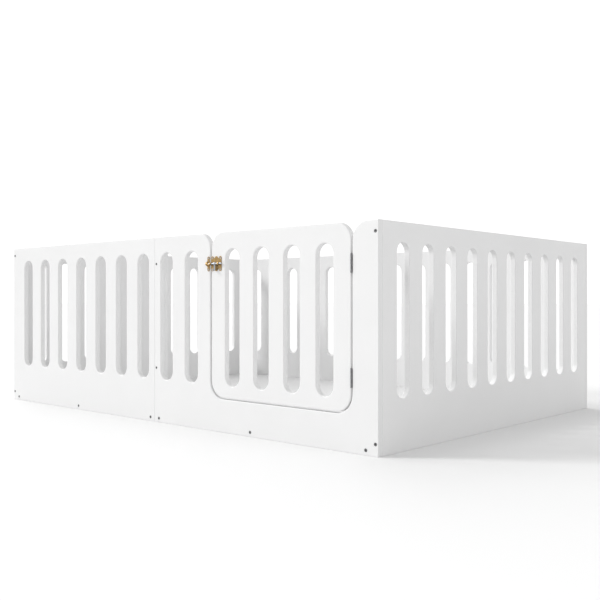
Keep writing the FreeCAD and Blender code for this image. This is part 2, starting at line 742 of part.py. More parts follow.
for near, far in zip(lines, lines[1:] + lines[:1]):
    tip_sketch.addConstraint(Sketcher.Constraint("Coincident", near, END, far, START))
tip_sketch.addConstraint(Sketcher.Constraint("Coincident", lines[0], START, *ORIGIN_POINT))
tip_sketch.addConstraint(Sketcher.Constraint("Vertical", lines[2]))
pin_point(tip_sketch, lines[0], END, "keeper_point", "keeper_point_half_height")
dimension(tip_sketch, "DistanceY", (*ORIGIN_POINT, lines[1], END),
          "2 * keeper_point_half_height")
tip_pad = tip.newObject("PartDesign::Pad", "keeper_tip_pad")
tip_pad.Profile = (tip_sketch, [""])
tip_pad.setExpression("Length", formula("latch_plate_thickness"))
place(tip, f"{KEEPER_LEFT}", FRONT, "latch_middle + keeper_point_half_height", (0, 1, 0), 180)
solids.append(tip)
solids += guide("keeper_guide", f"{KEEPER_RIGHT} - guide_length - keeper_guide_inset",
                "guide_length", f"({GUIDE_RADIUS} + keeper_clearance)")
keeper_blank = doc.addObject("Part::MultiFuse", "keeper_blank")
keeper_blank.Shapes = solids
parts.append(drilled("latch_keeper", keeper_blank,
                     [rod_bore("keeper_bore", "rod_radius + keeper_clearance")]
                     + keeper_screws))
plate_screws = group("latch_plate_screws", latch_screws)
keeper_screw_group = group("latch_keeper_screws", keeper_screws)

# ---- the boards that carry the fittings ----------------------------------------------------
parts.append(drilled("front_right_panel", front_right,
                     wall_fixings("front") + [frame_hinge_screws, keeper_screw_group]))
parts.append(drilled("door_panel", door, [door_hinge_screws, plate_screws]))
parts += list(fasteners.values())
parts += [seam_dowels, left_dowels, right_dowels]
parts += [frame_hinge_screws, door_hinge_screws, plate_screws, keeper_screw_group]

# ---- check and write -----------------------------------------------------------------------
doc.recompute()
for thing in doc.Objects:
    if "Invalid" in thing.State or "Error" in thing.State:
        raise RuntimeError(f"{thing.Label} is {thing.State}")
os.makedirs("parts", exist_ok=True)
for part in parts:
    if part.Shape.isNull() or not part.Shape.isValid():
        raise RuntimeError(f"{part.Label} has no valid shape")
    part.Shape.exportStep(f"parts/{part.Label}.step")
    box = part.Shape.BoundBox
    print(f"{part.Label:26s} solids {len(part.Shape.Solids):2d}  volume {part.Shape.Volume:12.1f}"
          f"  x {box.XMin:7.1f}..{box.XMax:7.1f}  y {box.YMin:7.1f}..{box.YMax:7.1f}"
          f"  z {box.ZMin:6.1f}..{box.ZMax:6.1f}")
print(len(parts), "parts written")
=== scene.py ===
# %% [markdown]
# # A slotted pet playpen, from its boards to its latch
# The pen is six painted walls, two floor boards, a door on two butt hinges and a small brass slide
# bolt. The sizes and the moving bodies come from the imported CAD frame, which this file loads first.
# Everything here only gives that frame its looks: soft routed edges, paint, steel and brass.

# %% Load the frame
import json
import math
import bmesh
import bpy
from mathutils import Matrix, Vector


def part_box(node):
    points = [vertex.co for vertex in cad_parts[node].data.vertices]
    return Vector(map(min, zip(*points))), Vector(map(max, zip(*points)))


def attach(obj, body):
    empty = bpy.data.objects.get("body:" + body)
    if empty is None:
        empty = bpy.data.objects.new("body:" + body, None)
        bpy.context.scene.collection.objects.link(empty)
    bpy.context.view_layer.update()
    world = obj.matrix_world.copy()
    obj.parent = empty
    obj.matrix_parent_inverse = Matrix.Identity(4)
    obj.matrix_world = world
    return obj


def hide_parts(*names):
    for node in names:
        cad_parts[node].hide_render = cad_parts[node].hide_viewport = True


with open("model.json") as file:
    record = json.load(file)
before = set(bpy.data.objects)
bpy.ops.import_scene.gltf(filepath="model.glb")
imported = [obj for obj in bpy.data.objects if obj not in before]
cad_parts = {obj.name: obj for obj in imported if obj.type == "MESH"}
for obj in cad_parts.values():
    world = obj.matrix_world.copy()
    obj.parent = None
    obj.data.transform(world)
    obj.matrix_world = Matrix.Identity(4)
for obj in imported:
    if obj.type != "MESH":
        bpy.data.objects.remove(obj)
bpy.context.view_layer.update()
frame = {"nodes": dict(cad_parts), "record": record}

# %% [markdown]
# ## Where things are
# The CAD names each piece, so a piece's place is its node's box. A set of screws is one node with
# several separate solids, so its mesh is walked from point to point to tell them apart. A screw is
# widest at the flat of its head, which says where the head is and which way it faces. That way no
# screw's place is written down twice.

# %% Boxes of nodes, and the heads of their fixings
MM = 0.001
record = frame["record"]
bodies_of = record["behaviour"]["bodies"]
body_of = {node: body for body, nodes in bodies_of.items() for node in nodes}
slot_of = {part["node"]: part["material_slot"] for part in record["subparts"]}
joint_of = {joint["name"]: joint for joint in record["behaviour"]["joints"]}


def solids(node):
    """The points of each separate solid of a CAD node."""
    work = bmesh.new()
    work.from_mesh(frame["nodes"][node].data)
    bmesh.ops.remove_doubles(work, verts=work.verts, dist=1e-6)
    left = set(work.verts)
    found = []
    while left:
        queue = [left.pop()]
        lot = []
        while queue:
            vert = queue.pop()
            lot.append(vert.co.copy())
            for edge in vert.link_edges:
                other = edge.other_vert(vert)
                if other in left:
                    left.remove(other)
                    queue.append(other)
        found.append(lot)
    work.free()
    return found


def head_and_aim(points):
    """Where a fixing's head is, the direction that it faces, and its radius."""
    low = Vector([min(p[i] for p in points) for i in range(3)])
    high = Vector([max(p[i] for p in points) for i in range(3)])
    along = max(range(3), key=lambda i: high[i] - low[i])
    middle = (low + high) / 2
    reach = [math.dist([c for i, c in enumerate(p) if i != along],
                       [c for i, c in enumerate(middle) if i != along]) for p in points]
    rim = [p[along] for p, r in zip(points, reach) if r > 0.98 * max(reach)]
    faces_up = sum(rim) / len(rim) > middle[along]
    head = middle.copy()
    head[along] = high[along] if faces_up else low[along]
    aim = Vector((0, 0, 0))
    aim[along] = 1 if faces_up else -1
    return head, aim, max(reach)


def size_of_solid(points):
    """The longest side of a solid."""
    return max(max(p[i] for p in points) - min(p[i] for p in points) for i in range(3))


fixings = {node: [head_and_aim(points) for points in solids(node)]
           for node in sorted(body_of) if node.endswith(("_screws", "_dowels"))}
print({node: len(heads) for node, heads in fixings.items()})

# %% [markdown]
# ## The studio
# A white pen is shown on a white floor, so only the shading tells its faces apart. The key lamp comes
# low from the front left, and throws the pen's shadow to its right. Two softboxes and a pale sky fill
# the shade. The camera stands low and level, off the corner by the door's hinges.

# %% The camera
near_corner = Vector((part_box("front_right_panel")[1].x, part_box("front_right_panel")[0].y, 0))
CAMERA_FROM_CORNER = Vector((1.2412, -1.6587, 0.3977))
CAMERA_TURN = math.radians(42.255)
LENS_MM = 49.24
camera_data = bpy.data.cameras.new("camera")
camera_data.lens = LENS_MM
camera_data.sensor_width = 36
camera_data.shift_y = -0.0011
camera = bpy.data.objects.new("camera", camera_data)
camera.location = near_corner + CAMERA_FROM_CORNER
camera.rotation_euler = (math.pi / 2, 0, CAMERA_TURN)
bpy.context.scene.collection.objects.link(camera)
bpy.context.scene.camera = camera
print("camera at", [round(v, 3) for v in camera.location])

# %% The floor, the sky and the lamps
SKY_LIGHT = 0.64
SKY_SEEN = 1.1
FLOOR_COLOUR = (0.80, 0.80, 0.80, 1)
FLOOR_REACH = 60
LAMPS = {
    # lamp: (strength, spread in degrees, heading)
    "key": (1.66, 15, (0.80, 0.60, -0.57)),
    "left_softbox": (1.55, 60, (0.85, -0.20, -0.62)),
    "right_softbox": (0.42, 60, (-0.80, 0.10, -0.70)),
}

scene = bpy.context.scene
scene.view_settings.view_transform = "Standard"
world = bpy.data.worlds.new("white sky")
world.use_nodes = True
sky = world.node_tree.nodes["Background"]
sky.inputs["Color"].default_value = (1, 1, 1, 1)
ray = world.node_tree.nodes.new("ShaderNodeLightPath")
seen_or_lit = world.node_tree.nodes.new("ShaderNodeMapRange")
seen_or_lit.inputs["To Min"].default_value = SKY_LIGHT
seen_or_lit.inputs["To Max"].default_value = SKY_SEEN
world.node_tree.links.new(ray.outputs["Is Camera Ray"], seen_or_lit.inputs["Value"])
world.node_tree.links.new(seen_or_lit.outputs["Result"], sky.inputs["Strength"])
scene.world = world
for name, (strength, degrees, heading) in LAMPS.items():
    lamp_data = bpy.data.lights.new(name, "SUN")
    lamp_data.energy = strength
    lamp_data.angle = math.radians(degrees)
    lamp = bpy.data.objects.new(name, lamp_data)
    lamp.rotation_euler = Vector(heading).to_track_quat("-Z", "Y").to_euler()
    scene.collection.objects.link(lamp)
floor_mesh = bpy.data.meshes.new("studio_floor")
corners = [(-FLOOR_REACH, -FLOOR_REACH, 0), (FLOOR_REACH, -FLOOR_REACH, 0),
           (FLOOR_REACH, FLOOR_REACH, 0), (-FLOOR_REACH, FLOOR_REACH, 0)]
floor_mesh.from_pydata(corners, [], [(0, 1, 2, 3)])
studio_floor = bpy.data.objects.new("studio_floor", floor_mesh)
scene.collection.objects.link(studio_floor)
print("studio ready,", len(LAMPS), "lamps")

# %% [markdown]
# ## Materials
# Each finish is a small node tree: one Principled shader, with noise in object coordinates for its
# grain, its unevenness and its bump. The helpers below add a node, a noise and a colour ramp, so that
# each material reads as a short recipe.

# %% Helpers for shader trees
def new_material(name, **sockets):
    """A material with one Principled shader; sockets that are the same all over are set on it."""
    material = bpy.data.materials.new(name)
    material.use_nodes = True
    shader = material.node_tree.nodes["Principled BSDF"]
    for socket, value in sockets.items():
        shader.inputs[socket.replace("_", " ")].default_value = value
    return material, material.node_tree, shader


def shader_node(tree, kind, links=None, **settings):
    made = tree.nodes.new(kind)
    for key, value in settings.items():
        if key in made.inputs:
            made.inputs[key].default_value = value
        else:
            setattr(made, key, value)
    for socket, source in (links or {}).items():
        tree.links.new(source, made.inputs[socket])
    return made


def stretched(tree, scale):
    """Object coordinates, stretched by a scale along each axis."""
    place = shader_node(tree, "ShaderNodeTexCoord").outputs["Object"]
    mapping = shader_node(tree, "ShaderNodeMapping", {"Vector": place})
    mapping.inputs["Scale"].default_value = scale
    return mapping.outputs["Vector"]


def noise(tree, size_mm, detail=3.0, roughness=0.5, stretch=(1, 1, 1)):
    """Noise whose lumps are about size_mm across."""
    vector = stretched(tree, stretch)
    made = shader_node(tree, "ShaderNodeTexNoise", {"Vector": vector})
    made.inputs["Scale"].default_value = 1 / (size_mm * MM)
    made.inputs["Detail"].default_value = detail
    made.inputs["Roughness"].default_value = roughness
    return made.outputs["Fac"]


def ramp(tree, source, low, high, start=0.3, end=0.7):
    """Blend between two colours as the source goes from start to end."""
    made = shader_node(tree, "ShaderNodeValToRGB", {"Fac": source})
    made.color_ramp.elements[0].position = start
    made.color_ramp.elements[0].color = (*low, 1)
    made.color_ramp.elements[1].position = end
    made.color_ramp.elements[1].color = (*high, 1)
    return made.outputs["Color"]


def blend_colours(tree, amount, one, two):
    """The first colour, turning into the second as the amount goes from 0 to 1."""
    made = shader_node(tree, "ShaderNodeMix", {0: amount, 6: one, 7: two}, data_type="RGBA")
    return made.outputs[2]


def spread(tree, source, low, high):
    """The source, from 0 to 1, turned into a number from low to high."""
    made = shader_node(tree, "ShaderNodeMapRange", {"Value": source})
    made.inputs["To Min"].default_value = low
    made.inputs["To Max"].default_value = high
    return made.outputs["Result"]


def bump(tree, shader, height, depth_mm, strength=1.0, over=None):
    made = shader_node(tree, "ShaderNodeBump", {"Height": height})
    made.inputs["Distance"].default_value = depth_mm * MM
    made.inputs["Strength"].default_value = strength
    if over is not None:
        tree.links.new(over, made.inputs["Normal"])
    tree.links.new(made.outputs["Normal"], shader.inputs["Normal"])
    return made.outputs["Normal"]


# %% [markdown]
# ### White paint
# The boards are sprayed with satin white over fibreboard. Close up, sprayed paint has a fine orange
# peel, a slow change in gloss from board to board, and a drier, slightly warmer look where the
# router cut the edge and the fibres drank the primer. A face attribute named routed marks those cuts.

# %% White paint
DRY_EDGE = 0.12


def white_paint(name, light, shade, gloss_low, gloss_high):
    material, tree, shader = new_material(name, Specular_IOR_Level=0.35)
    routed = shader_node(tree, "ShaderNodeAttribute", attribute_name="routed").outputs["Fac"]
    face_colour = ramp(tree, noise(tree, 160, detail=2), shade, light)
    edge_colour = ramp(tree, noise(tree, 5, detail=4), tuple(0.97 * c for c in shade), shade)
    colour = blend_colours(tree, routed, face_colour, edge_colour)
    tree.links.new(colour, shader.inputs["Base Color"])
    gloss = spread(tree, noise(tree, 60, detail=2), gloss_low, gloss_high)
    drier = shader_node(tree, "ShaderNodeMath", {0: routed, 2: gloss}, operation="MULTIPLY_ADD")
    drier.inputs[1].default_value = DRY_EDGE
    tree.links.new(drier.outputs[0], shader.inputs["Roughness"])
    peel = bump(tree, shader, noise(tree, 2.2, detail=1), 0.05, 0.35)
    bump(tree, shader, noise(tree, 0.6, detail=3, stretch=(1, 1, 0.35)), 0.02, 0.25, over=peel)
    return material


wall_paint = white_paint("wall_paint", (0.80, 0.80, 0.80), (0.785, 0.785, 0.785), 0.36, 0.46)
# The floor boards' paint is darker than the walls': painted shade, standing in for the shade that
# falls on the floor inside the pen.
floor_paint = white_paint("floor_paint", (0.70, 0.70, 0.70), (0.68, 0.68, 0.68), 0.42, 0.52)
studio_white, _, _ = new_material("studio_white", Base_Color=FLOOR_COLOUR, Roughness=0.9,
                                  Specular_IOR_Level=0.1)
floor_mesh.materials.append(studio_white)
print("paint:", wall_paint.name, floor_paint.name)

# %% [markdown]
# ### Metals and beech
# The board screws are blackened, the hinges are plain brushed steel, the slide bolt is zinc plated
# and its fittings are brass that has gone brown where fingers don't reach. Metal wears bright on its
# edges first, so each metal has a worn colour that the shader's pointiness brings in on edges. The
# dowels are beech, with short dark flecks along the grain.

# %% Metals and beech
def metal(name, dark, light, worn, gloss, patch_mm, brush=(1, 1, 1), scratch_mm=0.4):
    """A metal of two patchy tones, worn to a third on its edges, and brushed along one axis."""
    material, tree, shader = new_material(name, Metallic=1.0)
    patches = ramp(tree, noise(tree, patch_mm, detail=5, roughness=0.65), dark, light, 0.35, 0.65)
    corner = shader_node(tree, "ShaderNodeNewGeometry").outputs["Pointiness"]
    edge = shader_node(tree, "ShaderNodeMapRange", {"Value": corner})
    edge.inputs["From Min"].default_value = 0.51
    edge.inputs["From Max"].default_value = 0.60
    worn_colour = ramp(tree, noise(tree, patch_mm / 3, detail=2), light, worn)
    colour = blend_colours(tree, edge.outputs["Result"], patches, worn_colour)
    tree.links.new(colour, shader.inputs["Base Color"])
    brushed = noise(tree, scratch_mm, detail=4, stretch=brush)
    tree.links.new(spread(tree, brushed, *gloss), shader.inputs["Roughness"])
    bump(tree, shader, brushed, 0.01, 0.5)
    return material


def beech_wood(name):
    material, tree, shader = new_material(name, Specular_IOR_Level=0.3)
    flecks = noise(tree, 1.5, detail=4, roughness=0.6, stretch=(1, 0.12, 1))
    colour = ramp(tree, flecks, (0.52, 0.33, 0.17), (0.70, 0.50, 0.30), 0.4, 0.6)
    tree.links.new(colour, shader.inputs["Base Color"])
    tree.links.new(spread(tree, flecks, 0.5, 0.7), shader.inputs["Roughness"])
    bump(tree, shader, flecks, 0.05, 0.4)
    return material


UPRIGHT = (1, 1, 0.04)
LENGTHWISE = (0.04, 1, 1)
black_screw = metal("black_screw", (0.09, 0.09, 0.092), (0.15, 0.15, 0.153), (0.36, 0.36, 0.36),
                    (0.38, 0.55), 1.5)
hinge_steel = metal("hinge_steel", (0.20, 0.20, 0.21), (0.29, 0.29, 0.30), (0.52, 0.52, 0.53),
                    (0.32, 0.50), 6, UPRIGHT)
brass = metal("brass", (0.27, 0.17, 0.07), (0.47, 0.32, 0.14), (0.78, 0.58, 0.29),
              (0.36, 0.52), 5, scratch_mm=0.8)
bolt_steel = metal("bolt_steel", (0.28, 0.31, 0.35), (0.42, 0.45, 0.50), (0.66, 0.68, 0.72),
                   (0.36, 0.50), 4, LENGTHWISE)
beech = beech_wood("beech")
FINISHES = {"dark_screws": black_screw, "hinge_steel": hinge_steel, "latch_brass": brass,
            "bolt_steel": bolt_steel, "beech": beech, "white_paint": wall_paint}
print("metals:", [finish.name for finish in FINISHES.values()])

# %% [markdown]
# ## Geometry Nodes helpers
# A tree starts with its inputs, which are the sizes a maker would set, and ends by making its
# instances real and giving them a material. The helper that runs a tree sets each input by its
# socket's identifier, reads back the evaluated mesh and leaves no modifier behind.

# %% Helpers for geometry trees
def new_tree(name, inputs):
    """A geometry tree with a geometry input, the named number inputs and a geometry output."""
    tree = bpy.data.node_groups.new(name, "GeometryNodeTree")
    tree.interface.new_socket("Geometry", in_out="INPUT", socket_type="NodeSocketGeometry")
    for label, kind in inputs.items():
        tree.interface.new_socket(label, in_out="INPUT", socket_type="NodeSocket" + kind)
    tree.interface.new_socket("Geometry", in_out="OUTPUT", socket_type="NodeSocketGeometry")
    source = tree.nodes.new("NodeGroupInput")
    return tree, source.outputs


def step(tree, kind, *sources, **settings):
    """Add a node. Each source is (input name or number, link or value); settings are its options."""
    made = tree.nodes.new(kind)
    for key, value in settings.items():
        setattr(made, key, value)
    for socket, source in sources:
        if isinstance(source, bpy.types.NodeSocket):
            tree.links.new(source, made.inputs[socket])
        else:
            made.inputs[socket].default_value = source
    return made


def sum_of(tree, operation, a, b):
    return step(tree, "ShaderNodeMath", (0, a), (1, b), operation=operation).outputs[0]


def xyz(tree, x=0.0, y=0.0, z=0.0):
    return step(tree, "ShaderNodeCombineXYZ", (0, x), (1, y), (2, z)).outputs[0]


def close_tree(tree, geometry, material):
    """The last nodes of every tree: real geometry, one material, the output."""
    real = step(tree, "GeometryNodeRealizeInstances", (0, geometry)).outputs[0]
    painted = step(tree, "GeometryNodeSetMaterial", (0, real), ("Material", material)).outputs[0]
    step(tree, "NodeGroupOutput", (0, painted))


def link_object(name, mesh):
    made = bpy.data.objects.new(name, mesh)
    scene.collection.objects.link(made)
    return made


def run_tree(name, base_mesh, tree, values, edge=0):
    """Evaluate a tree on a base mesh, round its weighted edges over, and return the plain mesh."""
    work = link_object("work", base_mesh)
    nodes = work.modifiers.new("tree", "NODES")
    nodes.node_group = tree
    for item in tree.interface.items_tree:
        if item.in_out == "INPUT" and item.name in values:
            nodes[item.identifier] = values[item.name]
    if edge:
        bevel = work.modifiers.new("round over", "BEVEL")
        bevel.limit_method = "WEIGHT"
        bevel.width = edge
        bevel.segments = 5
        bevel.use_clamp_overlap = False
        bevel.loop_slide = False
        bevel.harden_normals = True
    evaluated = work.evaluated_get(bpy.context.evaluated_depsgraph_get())
    mesh = bpy.data.meshes.new_from_object(evaluated)
    mesh.name = name
    bpy.data.objects.remove(work)
    return mesh


# %% [markdown]
# ## The slotted boards
# Every wall of the pen, and the door, follows one rule: a flat outline, a row of upright slots with
# round ends, and a small round-over where the router went along the edges. So one tree makes them
# all. It takes the outline as a loop of edges, instances the slot along a line, fills the flat face
# with the holes left open, and gives it thickness. A bevel after the tree reads a weight on each edge:
# the slots and the top get the full round-over. The butted ends and the rims of the screw holes get
# only a broken arris.

# %% The board tree
ROUND_OVER = 3.0 * MM
ARRIS = 0.42
SLOT_STEPS = 14
HOLE_STEPS = 24
WELD = 1e-5
FLAT = 0.00001
HOLE_RIM = 6 * MM

board_tree, board_in = new_tree("slotted board", {
    "Length": "Float", "Thickness": "Float", "First slot": "Float", "Slot pitch": "Float",
    "Slot count": "Int", "Slot width": "Float", "Slot bottom": "Float", "Slot top": "Float",
    "Round ends": "Float", "Paint": "Material"})
t = board_tree
outline = step(t, "GeometryNodeMeshToCurve", ("Mesh", board_in["Geometry"])).outputs[0]

# the slot: a rectangle whose corners are rounded until the ends are half circles
slot_height = sum_of(t, "SUBTRACT", board_in["Slot top"], board_in["Slot bottom"])
slot_middle = sum_of(t, "ADD", board_in["Slot bottom"], sum_of(t, "DIVIDE", slot_height, 2.0))
slot_box = step(t, "GeometryNodeCurvePrimitiveQuadrilateral", ("Width", board_in["Slot width"]),
                ("Height", slot_height)).outputs[0]
slot_radius = sum_of(t, "MULTIPLY", board_in["Slot width"], 0.49999)
slot_curve = step(t, "GeometryNodeFilletCurve", ("Curve", slot_box), ("Radius", slot_radius),
                  ("Count", SLOT_STEPS), ("Limit Radius", True), mode="POLY").outputs[0]
slot_places = step(t, "GeometryNodeMeshLine", ("Count", board_in["Slot count"]),
                   ("Start Location", xyz(t, board_in["First slot"], slot_middle)),
                   ("Offset", xyz(t, board_in["Slot pitch"])), mode="OFFSET").outputs[0]
slots = step(t, "GeometryNodeInstanceOnPoints", ("Points", slot_places),
             ("Instance", slot_curve)).outputs[0]

# a round hole at each loose point of the input, for the head of a screw, as wide as the point says
lone = step(t, "GeometryNodeInputMeshVertexNeighbors").outputs["Vertex Count"]
is_lone = step(t, "FunctionNodeCompare", (2, lone), (3, 0), data_type="INT",
               operation="EQUAL").outputs[0]
circle = step(t, "GeometryNodeCurvePrimitiveCircle", ("Resolution", HOLE_STEPS),
              ("Radius", 1.0)).outputs[0]
hole = step(t, "GeometryNodeInputNamedAttribute", ("Name", "hole"), data_type="FLOAT")
hole_radius = hole.outputs["Attribute"]
holes = step(t, "GeometryNodeInstanceOnPoints", ("Points", board_in["Geometry"]),
             ("Selection", is_lone), ("Instance", circle),
             ("Scale", xyz(t, hole_radius, hole_radius, hole_radius))).outputs[0]

joined = step(t, "GeometryNodeJoinGeometry")
for loop in (holes, slots, outline):
    t.links.new(loop, joined.inputs[0])
loops = step(t, "GeometryNodeRealizeInstances", (0, joined.outputs[0])).outputs[0]
face = step(t, "GeometryNodeFillCurve", ("Curve", loops), mode="NGONS").outputs[0]
face = step(t, "GeometryNodeMergeByDistance", ("Geometry", face), ("Distance", WELD)).outputs[0]

# thickness: the face is pushed up, and a turned-over copy closes the bottom
pushed = step(t, "GeometryNodeExtrudeMesh", ("Mesh", face), ("Offset", xyz(t, z=1.0)),
              ("Offset Scale", board_in["Thickness"]), ("Individual", False), mode="FACES")
sides = step(t, "GeometryNodeStoreNamedAttribute", ("Geometry", pushed.outputs["Mesh"]),
             ("Selection", pushed.outputs["Side"]), ("Name", "routed"), ("Value", 1.0),
             data_type="FLOAT", domain="FACE").outputs[0]
turned = step(t, "GeometryNodeFlipFaces", ("Mesh", face)).outputs[0]
closed = step(t, "GeometryNodeJoinGeometry")
t.links.new(turned, closed.inputs[0])
t.links.new(sides, closed.inputs[0])
solid = step(t, "GeometryNodeMergeByDistance", ("Geometry", closed.outputs[0]),
             ("Distance", WELD)).outputs[0]

# edge weights: full on the rims, a broken arris on the ends, the foot, the corners and the holes
angle = step(t, "GeometryNodeInputMeshEdgeAngle").outputs["Unsigned Angle"]
sharp = step(t, "FunctionNodeCompare", (0, angle), (1, math.radians(40)),
             operation="GREATER_THAN").outputs[0]
ends = step(t, "GeometryNodeInputMeshEdgeVertices")
spans = step(t, "ShaderNodeSeparateXYZ", (0, step(
    t, "ShaderNodeVectorMath", (0, ends.outputs["Position 1"]), (1, ends.outputs["Position 2"]),
    operation="SUBTRACT").outputs[0])).outputs
crossing = step(t, "FunctionNodeCompare", (0, sum_of(t, "ABSOLUTE", spans["Z"], 0.0)), (1, FLAT),
                operation="GREATER_THAN").outputs[0]
middle = step(t, "ShaderNodeSeparateXYZ", (0, step(
    t, "ShaderNodeVectorMath", (0, ends.outputs["Position 1"]), (1, ends.outputs["Position 2"]),
    operation="ADD").outputs[0])).outputs
hole_centres = step(t, "GeometryNodeSeparateGeometry", (0, board_in["Geometry"]),
                    ("Selection", is_lone), domain="POINT").outputs[0]
flattened = xyz(t, sum_of(t, "DIVIDE", middle["X"], 2.0), sum_of(t, "DIVIDE", middle["Y"], 2.0))
nearest = step(t, "GeometryNodeProximity", ("Geometry", hole_centres), ("Sample Position", flattened),
               target_element="POINTS").outputs
close_by = step(t, "FunctionNodeCompare", (0, nearest["Distance"]), (1, HOLE_RIM),
                operation="LESS_THAN").outputs[0]
at_hole = step(t, "FunctionNodeBooleanMath", (0, close_by), (1, nearest["Is Valid"]),
               operation="AND").outputs[0]
at_foot = step(t, "FunctionNodeCompare", (0, middle["Y"]), (1, FLAT), operation="LESS_THAN").outputs[0]
from_middle = sum_of(t, "ABSOLUTE", sum_of(t, "SUBTRACT", middle["X"], board_in["Length"]), 0.0)
end_reach = sum_of(t, "SUBTRACT", board_in["Length"], FLAT)
at_end = step(t, "FunctionNodeCompare", (0, from_middle), (1, end_reach),
              operation="GREATER_THAN").outputs[0]
butted = step(t, "FunctionNodeBooleanMath", (0, at_foot), (1, at_end), operation="OR").outputs[0]
drilled = step(t, "FunctionNodeBooleanMath", (0, crossing), (1, at_hole), operation="OR").outputs[0]
not_rounded = step(t, "FunctionNodeBooleanMath", (0, butted), (1, drilled), operation="OR").outputs[0]
rim_weight = step(t, "ShaderNodeMix", (0, board_in["Round ends"]), (2, ARRIS), (3, 1.0)).outputs[0]
weight = step(t, "GeometryNodeSwitch", ("Switch", not_rounded), ("False", 1.0),
              ("True", rim_weight), input_type="FLOAT").outputs[0]
weighted = step(t, "GeometryNodeStoreNamedAttribute", ("Geometry", solid), ("Selection", sharp),
                ("Name", "bevel_weight_edge"), ("Value", weight), data_type="FLOAT",
                domain="EDGE").outputs[0]
smooth = step(t, "GeometryNodeSetShadeSmooth", ("Geometry", weighted),
              ("Shade Smooth", True)).outputs[0]
close_tree(t, smooth, board_in["Paint"])
print("board tree:", len(t.nodes), "nodes")

# %% [markdown]
# ### Outlines
# A plain wall is a rectangle. The door is a rectangle with four generous corners. The front right
# panel has a U cut out of its top edge for the door, with the same corners turned inside out. Each
# outline is a list of corners with a radius, and a corner becomes a tangent arc where its radius is
# not 0. The same rule draws the small metal fittings later on.

# %% Outlines with round corners
CORNER_STEP = math.radians(6)


def arc(centre, start, end):
    """Points from start to end round a centre, the short way."""
    arm = start - centre
    turn = arm.angle_signed(end - centre)
    steps = max(2, round(abs(turn) / CORNER_STEP))
    points = []
    for k in range(steps + 1):
        point = arm.copy()
        point.rotate(Matrix.Rotation(-turn * k / steps, 2))
        points.append(centre + point)
    return points


def outline(corners):
    """Points round a closed outline of (x, y, radius) corners."""
    points = []
    for index, (x, y, radius) in enumerate(corners):
        here = Vector((x, y))
        if radius == 0:
            points.append(here)
            continue
        before = (Vector(corners[index - 1][:2]) - here).normalized()
        after = (Vector(corners[(index + 1) % len(corners)][:2]) - here).normalized()
        half_angle = before.angle(after) / 2
        back_off = radius / math.tan(half_angle)
        centre = here + (before + after).normalized() * radius / math.sin(half_angle)
        points += arc(centre, here + before * back_off, here + after * back_off)
    return points


def rectangle(length, height, radius=0):
    return [(0, 0, radius), (length, 0, radius), (length, height, radius), (0, height, radius)]


print("a door corner takes", len(arc(Vector((0, 0)), Vector((1, 0)), Vector((0, 1)))), "points")

# %% [markdown]
# ### Cutting a board
# The outline goes into the tree as a loop of edges, and each screw hole as a loose point that knows
# its radius: a hair wider than the head of the screw that the CAD sets in it. A board is cut lying
# down and then stood up. A front or back board is tipped up, and a side board is tipped up and turned
# a quarter.

# %% Cut a board and stand it up
HEAD_PLAY = 0.12 * MM
FLUSH = 0.5 * MM
STAND_UP = Matrix.Rotation(math.pi / 2, 4, "X")
STAND_SIDEWAYS = Matrix.Rotation(math.pi / 2, 4, "Z") @ STAND_UP
ALONG = {"lie": (0, 1), "front": (0, 2), "side": (1, 2)}
NO_SLOTS = {"Slot count": 0}


def cut(name, corners, thickness, finish, slots=NO_SLOTS, holes=(), edge=ROUND_OVER,
        all_round=False):
    """The mesh of one flat piece, lying down with its underside at 0. A hole is x, y, radius."""
    points = outline(corners)
    loop = [(i, (i + 1) % len(points)) for i in range(len(points))]
    places = [(p[0], p[1], 0) for p in points] + [(x, y, 0) for x, y, _ in holes]
    blank = bpy.data.meshes.new("outline")
    blank.from_pydata(places, loop, [])
    radii = blank.attributes.new("hole", "FLOAT", "POINT")
    radii.data.foreach_set("value", [0] * len(points) + [radius for _, _, radius in holes])
    sizes = {"Length": max(p[0] for p in points), "Thickness": thickness, "Paint": finish,
             "Round ends": float(all_round)} | slots
    return run_tree(name, blank, board_tree, sizes, edge)


def holes_for(nodes, way, low, high):
    """Places on a board, from its own corner, of the screws whose heads are in one of its faces."""
    across, up = ALONG[way]
    through = 3 - across - up
    found = []
    for head, aim, radius in (fixing for node in nodes for fixing in fixings[node]):
        depth = min(abs(head[through] - low[through]), abs(head[through] - high[through]))
        inside = low[across] < head[across] < high[across] and low[up] < head[up] < high[up]
        if abs(aim[through]) == 1 and depth < FLUSH and inside:
            found.append((head[across] - low[across], head[up] - low[up], radius + HEAD_PLAY))
    return found


pieces = {}


def hand_over(name, mesh, *nodes):
    """Make a finished piece of a mesh: it stands for its CAD nodes and rides on their body."""
    piece = bpy.data.objects.new(name, mesh)
    scene.collection.objects.link(piece)
    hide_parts(*nodes)
    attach(piece, body_of[nodes[0]])
    pieces[name] = piece
    print(f"{name}: {len(mesh.polygons)} faces on {body_of[nodes[0]]}")
    return piece


print("ready to cut")

# %% [markdown]
# ### The walls
# The joiner sets out the slots from the middle seam outwards, half a pitch from the seam to the first
# one, so the two halves of a long wall match. A side wall's ten slots are centred on it.

# %% Walls, door and floor
SLOT_BOTTOM = 139 * MM
SLOT_TOP = 547 * MM
PANEL_SLOT = {"Slot width": 60 * MM, "Slot pitch": 122 * MM}
SIDE_SLOT = {"Slot width": 56 * MM, "Slot pitch": 116.7 * MM}
DOOR_SLOT = {"Slot width": 60 * MM, "Slot pitch": 119.5 * MM}
CORNER_RADIUS = 50 * MM
LATCH_GAP = 6.5 * MM
HINGE_GAP = 4 * MM
SILL_GAP = 4 * MM
FLOOR_EDGE = 1.2 * MM


